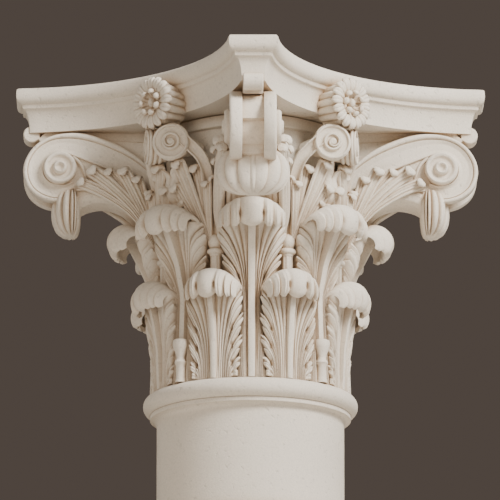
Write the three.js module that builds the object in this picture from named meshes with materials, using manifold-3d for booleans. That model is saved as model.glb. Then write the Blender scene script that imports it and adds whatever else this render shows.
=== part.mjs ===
// A Corinthian capital of cast stone on the neck of its column.
// Millimetres, +Z up. The origin is the centre of the neck's flat underside.
// The four sides of the abacus face +X, +Y, -X and -Y, and its horns point along the diagonals.

import * as THREE from 'three';
import { mergeVertices } from 'three/addons/utils/BufferGeometryUtils.js';
import Module from 'manifold-3d';

const wasm = await Module();
wasm.setup();

// ---------------------------------------------------------------- driving dimensions

const SHAFT_RADIUS = 150;
const NECK_HEIGHT = 206;
const ASTRAGAL_RADIUS = 172;
const ASTRAGAL_HEIGHT = 32;
const FILLET_RADIUS = 161;
const FILLET_HEIGHT = 7;
const SEAT_GAP = 0.3;

const CAPITAL_HEIGHT = 502;
const ABACUS_HEIGHT = 69;
const HORN_REACH = 379;
const SIDE_ARC_CENTRE = 560;
const SIDE_ARC_RADIUS = 357;

const BASE_Z = NECK_HEIGHT + SEAT_GAP;
const TOP_Z = NECK_HEIGHT + CAPITAL_HEIGHT;
const ABACUS_Z = TOP_Z - ABACUS_HEIGHT;

const QUARTER = Math.PI / 2;
const EIGHTH = Math.PI / 4;
const SIXTEENTH = Math.PI / 8;

// ---------------------------------------------------------------- solids from points

const degrees = (value) => value * Math.PI / 180;
const mix = (from, to, share) => from + (to - from) * share;

function spread(from, to, count) {
  return Array.from({ length: count }, (unused, i) => mix(from, to, i / (count - 1)));
}

// A value along a row of [place, value] knots, joined by smooth steps.
function along(knots, place) {
  if (place <= knots[0][0]) {
    return knots[0][1];
  }
  for (let i = 1; i < knots.length; i += 1) {
    const [start, from] = knots[i - 1];
    const [end, to] = knots[i];
    if (place <= end) {
      const share = (place - start) / (end - start);
      return mix(from, to, share * share * (3 - 2 * share));
    }
  }
  return knots[knots.length - 1][1];
}

function solid(points, faces) {
  const vertices = new Float32Array(points.flat());
  let volume = 0;
  for (const [a, b, c] of faces) {
    const va = new THREE.Vector3(...points[a]);
    const vb = new THREE.Vector3(...points[b]);
    const vc = new THREE.Vector3(...points[c]);
    volume += va.dot(vb.cross(vc));
  }
  const outward = volume > 0 ? faces : faces.map(([a, b, c]) => [a, c, b]);
  return new wasm.Manifold(new wasm.Mesh({
    numProp: 3,
    vertProperties: vertices,
    triVerts: new Uint32Array(outward.flat()),
  }));
}

// Closed rings of points, one after the other, with a fan over each end.
function loft(rings) {
  const count = rings[0].length;
  const points = rings.flat();
  const faces = [];
  for (let i = 0; i + 1 < rings.length; i += 1) {
    for (let j = 0; j < count; j += 1) {
      const a = i * count + j;
      const b = i * count + (j + 1) % count;
      faces.push([a, b, b + count], [a, b + count, a + count]);
    }
  }
  const ends = [[rings[0], 0, false], [rings[rings.length - 1], (rings.length - 1) * count, true]];
  for (const [ring, first, last] of ends) {
    const centre = [0, 1, 2].map((k) => ring.reduce((sum, point) => sum + point[k], 0) / count);
    const hub = points.push(centre) - 1;
    for (let j = 0; j < count; j += 1) {
      const a = first + j;
      const b = first + (j + 1) % count;
      faces.push(last ? [a, b, hub] : [b, a, hub]);
    }
  }
  return solid(points, faces);
}

function fromGeometry(geometry) {
  geometry.deleteAttribute('normal');
  geometry.deleteAttribute('uv');
  const merged = mergeVertices(geometry, 1e-4);
  const array = merged.attributes.position.array;
  const points = [];
  for (let i = 0; i < array.length; i += 3) {
    points.push([array[i], array[i + 1], array[i + 2]]);
  }
  const index = merged.index.array;
  const faces = [];
  for (let i = 0; i < index.length; i += 3) {
    const [a, b, c] = [index[i], index[i + 1], index[i + 2]];
    if (a !== b && b !== c && c !== a) {
      faces.push([a, b, c]);
    }
  }
  return solid(points, faces);
}

function lathe(profile, sides) {
  const points = profile.map(([radius, z]) => new THREE.Vector2(radius, z));
  return fromGeometry(new THREE.LatheGeometry(points, sides).rotateX(QUARTER));
}

const turn = (body, angle) => body.rotate([0, 0, angle * 180 / Math.PI]);
const mirror = (body) => body.mirror([0, 1, 0]);

// ---------------------------------------------------------------- neck of the shaft

function shaftNeck() {
  const tube = ASTRAGAL_HEIGHT / 2;
  const filletTop = NECK_HEIGHT - ASTRAGAL_HEIGHT;
  const filletFoot = filletTop - FILLET_HEIGHT;
  const profile = [[0, 0], [SHAFT_RADIUS, 0], [SHAFT_RADIUS, filletFoot - 7]];
  profile.push([SHAFT_RADIUS + 3, filletFoot - 2], [FILLET_RADIUS, filletFoot], [FILLET_RADIUS, filletTop]);
  const steps = 4;
  for (let i = 1; i <= steps; i += 1) {
    const angle = -QUARTER + Math.PI * i / steps;
    const radius = ASTRAGAL_RADIUS - tube + tube * Math.cos(angle);
    profile.push([radius, filletTop + tube + tube * Math.sin(angle)]);
  }
  profile.push([0, NECK_HEIGHT]);
  return lathe(profile, 36);
}

// ---------------------------------------------------------------- abacus

// The plan of the abacus, set in from its widest outline: four hollow sides and four cut horns.
function abacusRing(inset, z) {
  const reach = HORN_REACH - inset;
  const radius = SIDE_ARC_RADIUS + inset;
  const twice = SIDE_ARC_CENTRE * Math.SQRT2;
  const rest = reach ** 2 - twice * reach + SIDE_ARC_CENTRE ** 2 - radius ** 2;
  const halfHorn = (twice - Math.sqrt(twice ** 2 - 4 * rest)) / 2;
  const endX = (reach + halfHorn) / Math.SQRT2;
  const endY = (reach - halfHorn) / Math.SQRT2;
  const sweep = Math.atan2(endY, SIDE_ARC_CENTRE - endX);
  const steps = 7;
  const ring = [];
  for (let side = 0; side < 4; side += 1) {
    for (let i = 0; i <= steps; i += 1) {
      const angle = mix(-sweep, sweep, i / steps);
      const x = SIDE_ARC_CENTRE - radius * Math.cos(angle);
      const y = radius * Math.sin(angle);
      const [cos, sin] = [Math.cos(side * QUARTER), Math.sin(side * QUARTER)];
      ring.push([x * cos - y * sin, x * sin + y * cos, z]);
    }
  }
  return ring;
}

function abacus() {
  const profile = [[69, 1.5], [56, 0], [47, 3], [43.4, 9], [37.8, 9.5], [26, 18], [0, 22]];
  return loft(profile.map(([height, inset]) => abacusRing(inset, ABACUS_Z + height)));
}

// ---------------------------------------------------------------- bell with its two rows of leaves

const BELL = [[BASE_Z, 147], [330, 138], [450, 133], [560, 134], [625, 138], [TOP_Z, 138]];
const bellRadius = (z) => along(BELL, z);

// Each leaf climbs the bell as a blade and rolls over in a head, a bead of radius `size` about (r, z).
// Half-widths and relief are [height, size] knots up the blade.
const LOWER = {
  head: { r: 174, z: 354, size: 28, half: 44 },
  width: [[BASE_Z, 34], [270, 42], [325, 49], [360, 42]],
  relief: [[BASE_Z, 14], [270, 24], [310, 33], [345, 42]],
};
const UPPER = {
  head: { r: 202, z: 462, size: 28, half: 54 },
  width: [[BASE_Z, 24], [325, 14], [352, 20], [400, 42], [435, 51], [462, 46]],
  relief: [[BASE_Z, 12], [350, 18], [400, 36], [430, 52], [450, 56]],
};
// The stalk that rises behind each lower leaf and swells into a ring and a bud.
const STALK = {
  width: [[390, 8], [406, 8], [412, 14], [421, 9], [436, 15], [460, 12], [480, 6]],
  relief: [[390, 14], [406, 14], [412, 20], [421, 14], [436, 22], [460, 16], [480, -12]],
};
const BELL_FACE = { width: [[0, 10]], relief: [[0, -12]] };

// Across a leaf: thin edges, two swelling sides, two hollows and a middle rib.
const ACROSS = [[-1, 0.1], [-0.62, 0.9], [-0.2, 0.5], [0, 1.15], [0.2, 0.5], [0.62, 0.9], [1, 0.1]];

// Points across a blade that wraps the bell.
function bladeRow({ width, relief }, z, around, scallop) {
  const base = bellRadius(z);
  const depth = along(relief, z);
  return ACROSS.map(([share, height]) => {
    const angle = around + share * along(width, z) * scallop / (base + depth / 2);
    const radius = base + depth * height;
    return [radius * Math.cos(angle), radius * Math.sin(angle), z];
  });
}

// Points across the rolled head, whose ribs stand proud and whose edges droop.
function headRow({ r, z, size, half }, angle, wide, around) {
  const lean = [Math.cos(degrees(angle)), Math.sin(degrees(angle))];
  return ACROSS.map(([share, height]) => {
    const reach = size * mix(0.86, 1.02, height) - 0.2 * size * share ** 2;
    const radius = r + reach * lean[0];
    const side = share * half * wide;
    return [
      radius * Math.cos(around) - side * Math.sin(around),
      radius * Math.sin(around) + side * Math.cos(around),
      z + reach * lean[1],
    ];
  });
}

// Stations round a head from its hanging tip to the bell, each as [angle, share of its width].
const HEAD_ANGLES = [[-66, 0.62], [0, 0.96], [66, 1], [140, 0.85]];

// Every ring runs through the same station of all sixteen leaves, so heads and blades are one skin.
function leafyBell() {
  const heads = (leaf) => HEAD_ANGLES.map((head) => (around) => headRow(leaf.head, ...head, around));
  const blades = (leaf, heights) => heights.map((z, i) => (around) => {
    return bladeRow(leaf, z, around, i % 2 === 0 ? 0.86 : 1);
  });
  const lower = [
    ...blades(LOWER, spread(BASE_Z, 340, 4)),
    ...heads(LOWER),
    ...blades(STALK, [400, 412, 421, 436, 450, 460, 470, 480]),
  ];
  const upper = [
    ...blades(UPPER, [...spread(BASE_Z, 340, 4), ...spread(346, 366, 4), 404, 446]),
    ...heads(UPPER),
    ...blades(BELL_FACE, [480, 490]),
  ];
  return loft(lower.map((lowerRow, i) => {
    const ring = [];
    for (let k = 0; k < 8; k += 1) {
      ring.push(...upper[i](k * EIGHTH), ...lowerRow(k * EIGHTH + SIXTEENTH));
    }
    return ring;
  }));
}

// Above the leaves the bell is bare, and its lip ends under the abacus.
function bareBell() {
  const profile = [[0, 440], [128, 440], [bellRadius(460), 460]];
  profile.push([bellRadius(612), 612], [142, 622], [142, ABACUS_Z + 4], [0, ABACUS_Z + 4]);
  return lathe(profile, 24);
}

// ---------------------------------------------------------------- scroll brackets under the horns

// Two upright plates with a web between them; the scroll's eye is at (r, z) in the plane of the horn.
const SCROLL = { r: 307, z: 582, radius: 59, plate: 18, gap: 34, fillet: 8, rise: 5, eye: 9 };
const BRACKET_ROOT = 120;
// The hollow that sweeps from the horn down to the bell.
const BRACKET_ARCH = [[240, 524], [212, 512], [186, 492], [160, 452], [BRACKET_ROOT, 440]];
const WEB = [[310, 634], [346, 606], [346, 566], [310, 545], [244, 545], [160, 470], [BRACKET_ROOT, 458]];
// The leaf's head that hangs under the bracket, bent about (r, z).
const HORN_HEAD = { r: 290, z: 512, bend: 8, thick: 20, half: 60, drop: 38, root: [240, 534] };

// A flat outline in the plane of a horn, given thickness along Y.
function plate(outline, from, to) {
  const shape = new THREE.Shape(outline.map(([r, z]) => new THREE.Vector2(r, z)));
  const geometry = new THREE.ExtrudeGeometry(shape, { depth: to - from, bevelEnabled: false });
  geometry.rotateX(QUARTER);
  geometry.translate(0, to, 0);
  return fromGeometry(geometry);
}

function scrollOutline() {
  const { r, z, radius } = SCROLL;
  const outline = [[BRACKET_ROOT, ABACUS_Z + 1], [r - 14, ABACUS_Z + 4]];
  for (const angle of spread(95, -150, 11)) {
    outline.push([r + radius * Math.cos(degrees(angle)), z + radius * Math.sin(degrees(angle))]);
  }
  return [...outline, ...BRACKET_ARCH];
}

// The raised fillet follows the stem's upper edge and winds inward to the eye.
function scrollFillet(face) {
  const { r, z, radius, fillet, rise, eye } = SCROLL;
  const route = [[152, 606], [176, 634], [240, ABACUS_Z + 2]];
  const turns = 10;
  for (let i = 0; i < turns; i += 1) {
    const share = i / (turns - 1);
    const angle = degrees(mix(90, -380, share));
    const reach = mix(radius - fillet / 2, 2 * eye, share ** 0.8);
    route.push([r + reach * Math.cos(angle), z + reach * Math.sin(angle)]);
  }
  return loft(route.map((point, i) => {
    const before = route[Math.max(i - 1, 0)];
    const after = route[Math.min(i + 1, route.length - 1)];
    const run = Math.hypot(after[0] - before[0], after[1] - before[1]);
    const side = [(before[1] - after[1]) / run * fillet / 2, (after[0] - before[0]) / run * fillet / 2];
    return [
      [point[0] + side[0], face - 3, point[1] + side[1]],
      [point[0], face + rise, point[1]],
      [point[0] - side[0], face - 3, point[1] - side[1]],
    ];
  }));
}

// The leaf's head rolls over and hangs down in three rounded ribs.
function hornHead() {
  const { r, z, bend, thick, half, drop, root } = HORN_HEAD;
  const across = [[-1, -0.2], [-0.66, 0.85], [-0.36, 0.5], [0, 1.05], [0.36, 0.5], [0.66, 0.85], [1, -0.2],
    [0.5, -0.8], [-0.5, -0.8]];
  const roll = [[130, 0.94, 0.9], [80, 1, 1], [30, 1, 1], [-15, 0.86, 0.9]].map(([angle, wide, deep]) => {
    const lean = [Math.cos(degrees(angle)), Math.sin(degrees(angle))];
    return { place: [r + bend * lean[0], z + bend * lean[1]], lean, wide, deep };
  });
  const stations = [
    { place: root, lean: [-0.8, 0.6], wide: 0.8, deep: 0.7 },
    ...roll,
    { place: [r + bend * 0.8, z - drop], lean: [0.94, -0.34], wide: 0.5, deep: 0.55 },
  ];
  return loft(stations.map(({ place, lean, wide, deep }) => across.map(([share, height]) => {
    const reach = height * thick * deep - 0.22 * half * wide * share ** 2;
    return [place[0] + lean[0] * reach, share * half * wide, place[1] + lean[1] * reach];
  })));
}

function bracket() {
  const { r, z, plate: thick, gap, eye, rise } = SCROLL;
  const inner = gap / 2;
  const outer = inner + thick;
  const boss = [-outer - rise - 3, outer + rise + 3].map((y) => spread(0, 315, 8).map((angle) => [
    r + eye * Math.cos(degrees(angle)), y, z + eye * Math.sin(degrees(angle)),
  ]));
  return [
    plate([[BRACKET_ROOT, 630], ...WEB], -inner - 2, inner + 2),
    plate(scrollOutline(), inner, outer),
    plate(scrollOutline(), -outer, -inner),
    scrollFillet(outer),
    mirror(scrollFillet(outer)),
    loft(boss),
    hornHead(),
  ];
}

// ---------------------------------------------------------------- small scrolls at mid-side

// Each scroll's face stands `r` out from the axis, `side` off the middle of the side, turned to its horn.
const HELIX = { r: 210, side: 27, z: 588, radius: 31, turned: 38 };

function helix() {
  const { r, side, z, radius, turned } = HELIX;
  const [out, aside] = [Math.cos(degrees(turned)), Math.sin(degrees(turned))];
  const profile = [[-68, 12], [-18, radius], [0, radius], [-1, radius - 9], [-8, radius - 12], [2, 6]];
  return loft(profile.map(([depth, reach]) => spread(0, 320, 9).map((angle) => {
    const across = reach * Math.cos(degrees(angle));
    const up = reach * Math.sin(degrees(angle));
    const inward = depth < -20 ? 0 : aside;
    return [r - across * aside + depth * out, side + across * out + depth * inward, z + up];
  })));
}

// ---------------------------------------------------------------- stems of the small scrolls

// A band with two swelling sides along a route of stations; `out` is the way each one faces.
function strap(route) {
  const section = [[-1, 0], [-0.5, 1], [0, 0.5], [0.5, 1], [1, 0], [0, -1.6]];
  return loft(route.map(({ place, half, deep, out }) => {
    const [nx, ny] = [Math.cos(degrees(out)), Math.sin(degrees(out))];
    return section.map(([share, lift]) => [
      place[0] + nx * deep * lift - ny * half * share,
      place[1] + ny * deep * lift + nx * half * share,
      place[2],
    ]);
  }));
}

// The channelled stem that climbs beside the bell and bends over the small scroll.
const helixStem = () => strap([
  { place: [144, 60, 440], half: 9, deep: 10, out: 22 },
  { place: [152, 52, 515], half: 9, deep: 12, out: 26 },
  { place: [172, 55, 570], half: 10, deep: 14, out: 34 },
  { place: [198, 42, 608], half: 12, deep: 14, out: 38 },
]);

// ---------------------------------------------------------------- rosettes

const ROSETTE = { z: 654, face: 228, radius: 42, depth: 37 };

function rosette() {
  const { z, face, radius, depth } = ROSETTE;
  const count = 16;
  const levels = [[-depth - 20, 0.8, 0], [-6, 1, 0.14], [-9, 0.5, 0], [0, 0.36, 0]];
  return loft(levels.map(([lift, share, notch]) => {
    const ring = [];
    for (let i = 0; i < count; i += 1) {
      const angle = i * 2 * Math.PI / count;
      const reach = radius * (share - (i % 2) * notch);
      ring.push([face + lift, reach * Math.cos(angle), z + reach * Math.sin(angle)]);
    }
    return ring;
  }));
}

// ---------------------------------------------------------------- the whole

function capital() {
  const parts = [abacus(), bareBell(), leafyBell()];
  for (let i = 0; i < 4; i += 1) {
    for (const part of bracket()) {
      parts.push(turn(part, i * QUARTER + EIGHTH));
    }
    for (const part of [helix(), helixStem()]) {
      parts.push(turn(part, i * QUARTER));
      parts.push(turn(mirror(part), i * QUARTER));
    }
    parts.push(turn(rosette(), i * QUARTER));
  }
  return parts.reduce((whole, part) => whole.add(part));
}

function meshOf(name, body, material) {
  const { vertProperties, triVerts } = body.getMesh();
  const geometry = new THREE.BufferGeometry();
  geometry.setAttribute('position', new THREE.BufferAttribute(Float32Array.from(vertProperties), 3));
  geometry.setIndex(new THREE.BufferAttribute(Uint32Array.from(triVerts), 1));
  geometry.computeVertexNormals();
  const mesh = new THREE.Mesh(geometry, material);
  mesh.name = name;
  return mesh;
}

const stone = () => new THREE.MeshStandardMaterial({ color: 0xe2dbd0, roughness: 0.9, metalness: 0 });

const group = new THREE.Group();
group.add(meshOf('shaft_neck', shaftNeck(), stone()));
group.add(meshOf('capital', capital(), stone()));

export default group;
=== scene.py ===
"""A Corinthian capital of cast stone on the neck of its column, finished in Blender."""

import math

import bmesh
import bpy
import numpy as np
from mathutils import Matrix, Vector


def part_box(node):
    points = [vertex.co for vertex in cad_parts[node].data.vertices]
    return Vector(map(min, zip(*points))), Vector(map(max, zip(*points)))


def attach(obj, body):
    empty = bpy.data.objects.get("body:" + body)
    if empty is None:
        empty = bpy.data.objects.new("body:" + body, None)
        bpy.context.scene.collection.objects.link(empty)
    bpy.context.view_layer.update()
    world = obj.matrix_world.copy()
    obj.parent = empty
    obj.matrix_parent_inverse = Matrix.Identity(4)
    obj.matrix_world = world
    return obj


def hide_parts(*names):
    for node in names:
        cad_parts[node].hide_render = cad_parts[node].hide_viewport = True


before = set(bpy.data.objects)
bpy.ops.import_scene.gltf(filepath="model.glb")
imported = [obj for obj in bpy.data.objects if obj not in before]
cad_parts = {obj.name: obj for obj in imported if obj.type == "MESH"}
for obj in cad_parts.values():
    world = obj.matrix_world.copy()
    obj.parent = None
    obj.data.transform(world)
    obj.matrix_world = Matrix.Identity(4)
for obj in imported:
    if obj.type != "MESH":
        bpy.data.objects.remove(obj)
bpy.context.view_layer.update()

# ---------------------------------------------------------------- camera, light and floor
# A long lens looks up at a horn from a little below the astragal, as from the foot of the column.
# A broad soft light stands high on the right, with weak fill all round and a pale floor below.

MM = 0.001
low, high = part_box("capital")
BASE_Z = low[2] / MM
TOP_Z = high[2] / MM
NECK_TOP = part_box("shaft_neck")[1][2] / MM

CAMERA_TURN = 44.3
CAMERA_RISE = -13.45
CAMERA_DISTANCE = 12.0
SENSOR = 36.0
VIEW_HEIGHT = 0.805
AIM_HEIGHT = 0.450
AIM_ASIDE = -0.0007


def away(turn, rise, distance):
    """A place at a distance, turned round the column and risen above the level, in degrees."""
    turn, rise = math.radians(turn), math.radians(rise)
    level = math.cos(rise)
    return Vector((math.sin(turn) * level, -math.cos(turn) * level, math.sin(rise))) * distance


camera = bpy.data.objects.new("camera", bpy.data.cameras.new("camera"))
bpy.context.collection.objects.link(camera)
bpy.context.scene.camera = camera
camera.data.sensor_width = SENSOR
camera.data.lens = SENSOR * CAMERA_DISTANCE / VIEW_HEIGHT
camera.data.clip_end = 60.0
sideways = Vector((math.cos(math.radians(CAMERA_TURN)), math.sin(math.radians(CAMERA_TURN)), 0.0))
aim = Vector((0.0, 0.0, AIM_HEIGHT)) + sideways * AIM_ASIDE
camera.location = aim + away(CAMERA_TURN, CAMERA_RISE, CAMERA_DISTANCE)
camera.rotation_euler = (aim - camera.location).to_track_quat("-Z", "Y").to_euler()


def area_light(name, turn, rise, distance, size, power, colour):
    lamp = bpy.data.objects.new(name, bpy.data.lights.new(name, "AREA"))
    bpy.context.collection.objects.link(lamp)
    lamp.data.shape = "DISK"
    lamp.data.size = size
    lamp.data.energy = power
    lamp.data.color = colour
    lamp.location = aim + away(turn, rise, distance)
    lamp.rotation_euler = (aim - lamp.location).to_track_quat("-Z", "Y").to_euler()


area_light("key", CAMERA_TURN + 44, 34, 3.4, 1.4, 212, (1.0, 0.97, 0.925))
area_light("front_fill", CAMERA_TURN - 30, 8, 4.6, 3.0, 64, (1.0, 0.90, 0.78))
area_light("low_fill", CAMERA_TURN + 5, -32, 4.6, 3.0, 13, (1.0, 0.92, 0.82))
area_light("rim", CAMERA_TURN - 125, 32, 4.0, 2.0, 34, (1.0, 0.96, 0.91))

world = bpy.data.worlds.new("studio")
world.use_nodes = True
bpy.context.scene.world = world
world.node_tree.nodes["Background"].inputs["Color"].default_value = (0.084, 0.066, 0.055, 1.0)
world.node_tree.nodes["Background"].inputs["Strength"].default_value = 1.0


# ---------------------------------------------------------------- stone and floor finishes
# Ivory cast stone: fine sand in the face, faint clouding, and a warm painted shade deep in the carving, laid
# in by ambient occlusion.
# The floor is a pale board that shows only from above, so that the low view looks past it.

class Value:
    """A shader value or socket that adds, subtracts and multiplies as Python numbers do."""

    def __init__(self, tree, socket):
        self.tree = tree
        self.socket = socket

    def maths(self, operation, first, second):
        node = self.tree.nodes.new("ShaderNodeMath")
        node.operation = operation
        for place, given in zip(node.inputs, (first, second)):
            if isinstance(given, Value):
                self.tree.links.new(given.socket, place)
            else:
                place.default_value = given
        return Value(self.tree, node.outputs[0])

    def __add__(self, other):
        return self.maths("ADD", self, other)

    def __sub__(self, other):
        return self.maths("SUBTRACT", self, other)

    def __mul__(self, other):
        return self.maths("MULTIPLY", self, other)

    def __radd__(self, other):
        return self.maths("ADD", other, self)

    def __rsub__(self, other):
        return self.maths("SUBTRACT", other, self)

    def __rmul__(self, other):
        return self.maths("MULTIPLY", other, self)

    def clamp(self, lowest=0.0, highest=1.0):
        return self.maths("MINIMUM", self.maths("MAXIMUM", self, lowest), highest)

    def node(self, kind, output=0, settings=None, **given):
        """Any other node; an input is named by its socket, or _ and its number where names repeat."""
        made = self.tree.nodes.new(kind)
        for key, setting in (settings or {}).items():
            setattr(made, key, setting)
        for key, value in given.items():
            place = made.inputs[int(key[1:]) if key[1:].isdigit() else key]
            if isinstance(value, Value):
                self.tree.links.new(value.socket, place)
            else:
                place.default_value = value
        return Value(self.tree, made.outputs[output])


def new_material(name):
    made = bpy.data.materials.new(name)
    made.use_nodes = True
    return made, made.node_tree, made.node_tree.nodes["Principled BSDF"]


def cast_stone(name, pale, deep, grain):
    """Sand grain, clouding and pores vary the colour; `deep` is a painted shade, mixed in where ambient
    occlusion finds the carving closed in.
    """
    made, tree, shader = new_material(name)
    place = Value(tree, tree.nodes.new("ShaderNodeTexCoord").outputs["Object"])
    sand = place.node("ShaderNodeTexNoise", Vector=place, Scale=grain, Detail=3.0, Roughness=0.65)
    cloud = place.node("ShaderNodeTexNoise", Vector=place, Scale=9.0, Detail=4.0, Roughness=0.6)
    pores = place.node("ShaderNodeTexNoise", Vector=place, Scale=grain * 0.42, Detail=2.0, Roughness=0.5)
    # Painted shade: the colour turns toward the warm `deep` wherever ambient occlusion finds the surface
    # closed in.
    open_air = place.node("ShaderNodeAmbientOcclusion", "AO", {"samples": 6}, Distance=0.03)
    painted_shade = ((0.86 - open_air) * 1.5).clamp()
    pit = ((pores - 0.62) * 9.0).clamp()
    shade = 0.965 + (cloud - 0.5) * 0.12 + (sand - 0.5) * 0.34 - pit * 0.12
    colour_with_painted_shade = place.node("ShaderNodeMix", 2, {"data_type": "RGBA"}, _0=painted_shade, _6=pale, _7=deep)
    toned = place.node("ShaderNodeVectorMath", 0, {"operation": "SCALE"}, _0=colour_with_painted_shade, Scale=shade)
    tree.links.new(toned.socket, shader.inputs["Base Color"])
    rough = 0.84 + (sand - 0.5) * 0.2
    tree.links.new(rough.socket, shader.inputs["Roughness"])
    shader.inputs["Specular IOR Level"].default_value = 0.32
    height = sand * 0.6 - pit * 0.8
    bump = place.node("ShaderNodeBump", Strength=0.42, Distance=0.0016, Height=height)
    tree.links.new(bump.socket, shader.inputs["Normal"])
    return made


# The second colour is the warm painted shade laid into the carving's recesses.
stone = cast_stone("ivory_cast_stone", (0.80, 0.735, 0.64, 1.0), (0.58, 0.45, 0.32, 1.0), 340.0)

floor_paint, floor_tree, floor_shader = new_material("floor_paint")
floor_shader.inputs["Base Color"].default_value = (0.62, 0.58, 0.53, 1.0)
floor_shader.inputs["Roughness"].default_value = 0.9
behind = floor_tree.nodes.new("ShaderNodeNewGeometry").outputs["Backfacing"]
clear = floor_tree.nodes.new("ShaderNodeBsdfTransparent")
shown = floor_tree.nodes.new("ShaderNodeMixShader")
floor_tree.links.new(behind, shown.inputs["Fac"])
floor_tree.links.new(floor_shader.outputs[0], shown.inputs[1])
floor_tree.links.new(clear.outputs[0], shown.inputs[2])
floor_tree.links.new(shown.outputs[0], floor_tree.nodes["Material Output"].inputs["Surface"])

floor_mesh = bpy.data.meshes.new("floor")
FLOOR_HALF = 4.0
floor_corners = [(x * FLOOR_HALF, y * FLOOR_HALF, 0.0) for x, y in ((-1, -1), (1, -1), (1, 1), (-1, 1))]
floor_mesh.from_pydata(floor_corners, [], [(0, 1, 2, 3)])
floor_mesh.materials.append(floor_paint)
floor = bpy.data.objects.new("floor", floor_mesh)
bpy.context.collection.objects.link(floor)


# ---------------------------------------------------------------- neck of the shaft
# The top of the column: a plain round shaft, a small hollow, a fillet and the half-round astragal.
# Turned in one piece with the shaft in the same cast stone; the capital stands on its flat top.

def spread(first, last, count):
    return np.linspace(first, last, count)


def smooth(start, end, value):
    """0 at start, 1 at end, and a soft step between."""
    share = np.clip((value - start) / (end - start), 0.0, 1.0)
    return share * share * (3.0 - 2.0 * share)


def along(knots, place):
    """A value read along [place, value] knots joined by straight lines."""
    places, values = zip(*knots)
    return np.interp(place, places, values)


def stack(*parts):
    """Coordinates of any shapes that fit together, joined into points."""
    return np.stack(np.broadcast_arrays(*parts), axis=-1).astype(float)


def merged_mesh(name, grids, sharp=38.0):
    """One closed mesh from grids of points: equal points are merged and open edges are filled."""
    points, quads, first = [], [], 0
    for grid in grids:
        rows, columns, _ = grid.shape
        index = first + np.arange(rows * columns).reshape(rows, columns)
        corners = (index[:-1, :-1], index[:-1, 1:], index[1:, 1:], index[1:, :-1])
        quads.append(np.stack(corners, axis=-1).reshape(-1, 4))
        points.append(grid.reshape(-1, 3) * MM)
        first += rows * columns
    mesh = bpy.data.meshes.new(name)
    mesh.from_pydata(np.concatenate(points).tolist(), [], np.concatenate(quads).tolist())
    work = bmesh.new()
    work.from_mesh(mesh)
    bmesh.ops.remove_doubles(work, verts=work.verts, dist=0.00002)
    bmesh.ops.dissolve_degenerate(work, edges=work.edges, dist=0.000005)
    rims = [edge for edge in work.edges if edge.is_boundary]
    bmesh.ops.holes_fill(work, edges=rims, sides=0)
    bmesh.ops.recalc_face_normals(work, faces=work.faces)
    work.to_mesh(mesh)
    work.free()
    mesh.shade_smooth()
    mesh.set_sharp_from_angle(angle=math.radians(sharp))
    return mesh


def placed(name, mesh, node):
    """A finished piece in stone that stands for a node and rides with the whole."""
    mesh.materials.clear()
    mesh.materials.append(stone)
    piece = bpy.data.objects.new(name, mesh)
    bpy.context.collection.objects.link(piece)
    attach(piece, "root")
    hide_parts(node)
    return piece


def lathed(profile, sides):
    """A profile of (radius, z) turned round the column's axis."""
    profile = np.array(profile, dtype=float)
    turn = spread(0.0, 2.0 * math.pi, sides + 1)
    radius, height = profile[:, :1], profile[:, 1:]
    return stack(radius * np.cos(turn), radius * np.sin(turn), height)


def arc(centre, size, first, last, count):
    """Points round part of a circle, angles in degrees."""
    angle = np.radians(spread(first, last, count))
    return [(centre[0] + size * c, centre[1] + size * s) for c, s in zip(np.cos(angle), np.sin(angle))]


BEAD = 16.0
BEAD_REACH = 156.0
SHAFT = 150.0
FILLET = 161.0
FILLET_TOP = NECK_TOP - 2.0 * BEAD
FILLET_FOOT = FILLET_TOP - 6.5

neck_profile = [(0.0, 0.0), (SHAFT - 1.0, 0.0), (SHAFT, 1.0), (SHAFT, FILLET_FOOT - 10.0)]
neck_profile += arc((SHAFT + 9.5, FILLET_FOOT - 9.5), 9.5, 180.0, 96.0, 10)
neck_profile += [(FILLET - 0.8, FILLET_FOOT), (FILLET, FILLET_FOOT + 0.8), (FILLET, FILLET_TOP)]
neck_profile += arc((BEAD_REACH, FILLET_TOP + BEAD), BEAD, -84.0, 90.0, 28)
neck_profile += [(0.0, NECK_TOP)]
placed("column_neck", merged_mesh("column_neck", [lathed(neck_profile, 160)]), "shaft_neck")


# ---------------------------------------------------------------- abacus and bell
# The abacus is a slab with four hollow sides and four cut horns, moulded as ovolo, fillet and cavetto.
# Under it the round bell rises from the astragal to its lip; both are one block with all the carving.

ABACUS_HEIGHT = 69.0
ABACUS_Z = TOP_Z - ABACUS_HEIGHT
HORN_REACH = 379.0
SIDE_CENTRE = 560.0
SIDE_RADIUS = 357.0


def abacus_ring(inset, z):
    """The outline of the slab at a height: four hollow sides that end on cut horns, all set in by inset."""
    reach = HORN_REACH - inset
    radius = SIDE_RADIUS + inset
    twice = SIDE_CENTRE * math.sqrt(2.0)
    rest = reach ** 2 - twice * reach + SIDE_CENTRE ** 2 - radius ** 2
    half_horn = (twice - math.sqrt(twice ** 2 - 4.0 * rest)) / 2.0
    end_x = (reach + half_horn) / math.sqrt(2.0)
    end_y = (reach - half_horn) / math.sqrt(2.0)
    sweep = math.atan2(end_y, SIDE_CENTRE - end_x)
    share = spread(-1.0, 1.0, 49)
    angle = np.sin(share * math.pi / 2.0) * 0.25 * sweep + share * 0.75 * sweep
    x = SIDE_CENTRE - radius * np.cos(angle)
    y = radius * np.sin(angle)
    soften = 1.6
    x[0], x[-1] = x[0] - soften, x[-1] - soften
    ring = []
    for side in range(4):
        cos, sin = math.cos(side * math.pi / 2.0), math.sin(side * math.pi / 2.0)
        ring.append(stack(x * cos - y * sin, x * sin + y * cos, z))
    ring = np.concatenate(ring)
    return np.concatenate([ring, ring[:1]])


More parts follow.
